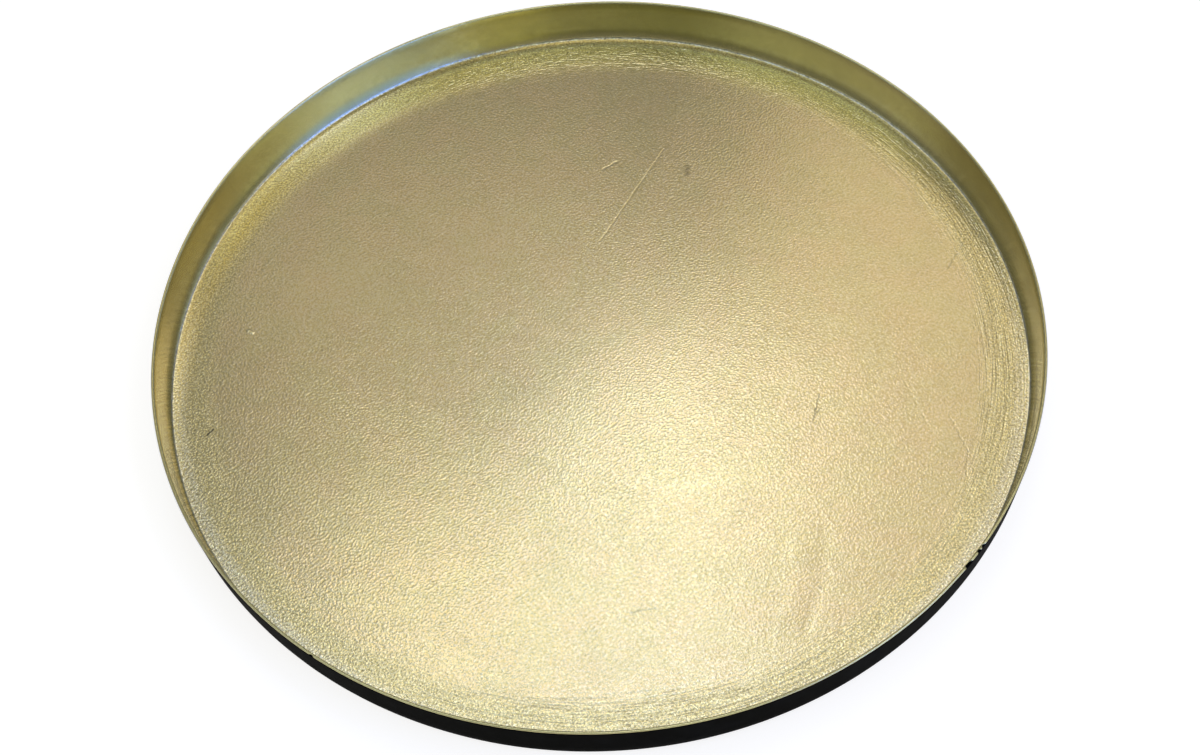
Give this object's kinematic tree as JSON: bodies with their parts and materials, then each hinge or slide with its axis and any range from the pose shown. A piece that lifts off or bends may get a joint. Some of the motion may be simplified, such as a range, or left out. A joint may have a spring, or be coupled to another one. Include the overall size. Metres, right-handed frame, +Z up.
{
  "type": "candle plate",
  "caption": "Shallow round candle plate: a pressed metal dish with a low leaning wall, gold lacquered inside and black outside, on small felt pads.",
  "frame": {"origin": "on the table, under the middle of the plate", "axes": "+Z up along the axis of the round dish, +X to the right and +Y away from the viewer"},
  "size_m": [0.22, 0.22, 0.015],
  "materials": {
    "black_coat": "satin",
    "gold_lacquer": "satin",
    "felt": "matte"
  },
  "bodies": {
    "root": {"pressed_dish": "black_coat", "gold_lining": "gold_lacquer", "felt_pad_1": "felt", "felt_pad_2": "felt", "felt_pad_3": "felt", "felt_pad_4": "felt"}
  },
  "joints": []
}
